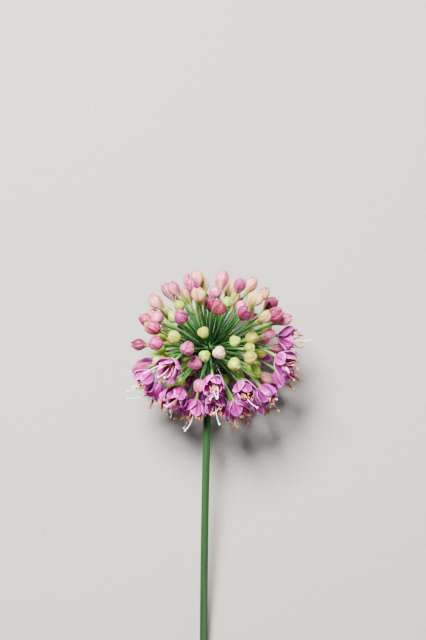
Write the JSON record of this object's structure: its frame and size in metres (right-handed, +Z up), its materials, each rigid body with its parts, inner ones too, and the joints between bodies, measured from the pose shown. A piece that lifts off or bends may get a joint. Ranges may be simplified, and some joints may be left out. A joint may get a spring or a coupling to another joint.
{
  "type": "allium flower head",
  "caption": "Cut allium stalk lying down, its round umbel part in pale, green and rose buds and part in open lilac-pink cup florets with long stamens.",
  "frame": {"origin": "middle of the footprint of the whole flower as it lies, on the surface that it rests on", "axes": "+Y runs level along the stalk from its cut end to the flower head, +Z up, +X to the right seen from the cut end"},
  "size_m": [0.0536, 0.1208, 0.0449],
  "materials": {
    "stalk": "satin",
    "pedicel_green": "satin",
    "open_tepal": "satin",
    "pink_bud": "satin",
    "pale_bud": "satin"
  },
  "bodies": {
    "root": {"open_floret_01": "open_tepal", "open_floret_02": "open_tepal", "open_floret_03": "open_tepal", "open_floret_04": "open_tepal", "open_floret_05": "open_tepal", "open_floret_06": "open_tepal", "open_floret_07": "open_tepal", "open_floret_08": "open_tepal", "open_floret_09": "open_tepal", "open_floret_10": "open_tepal", "open_floret_11": "open_tepal", "open_floret_12": "open_tepal", "open_floret_13": "open_tepal", "open_floret_14": "open_tepal", "open_floret_15": "open_tepal", "open_floret_16": "open_tepal", "open_floret_17": "open_tepal", "open_floret_18": "open_tepal", "open_floret_19": "open_tepal", "open_floret_20": "open_tepal", "open_floret_21": "open_tepal", "open_floret_22": "open_tepal", "open_floret_23": "open_tepal", "open_floret_24": "open_tepal", "open_floret_25": "open_tepal", "open_floret_26": "open_tepal", "open_floret_27": "open_tepal", "open_floret_28": "open_tepal", "pale_bud_01": "pale_bud", "pale_bud_02": "pale_bud", "pale_bud_03": "pale_bud", "pale_bud_04": "pale_bud", "pale_bud_05": "pale_bud", "pale_bud_06": "pale_bud", "pale_bud_07": "pale_bud", "pale_bud_08": "pale_bud", "pale_bud_09": "pale_bud", "pale_bud_10": "pale_bud", "pale_bud_11": "pale_bud", "pale_bud_12": "pale_bud", "pale_bud_13": "pale_bud", "pale_bud_14": "pale_bud", "pink_bud_01": "pink_bud", "pink_bud_02": "pink_bud", "pink_bud_03": "pink_bud", "pink_bud_04": "pink_bud", "pink_bud_05": "pink_bud", "pink_bud_06": "pink_bud", "pink_bud_07": "pink_bud", "pink_bud_08": "pink_bud", "pink_bud_09": "pink_bud", "pink_bud_10": "pink_bud", "pink_bud_11": "pink_bud", "pink_bud_12": "pink_bud", "pink_bud_13": "pink_bud", "pink_bud_14": "pink_bud", "pink_bud_15": "pink_bud", "pink_bud_16": "pink_bud", "stalk": "stalk", "umbel": "pedicel_green"}
  },
  "joints": []
}
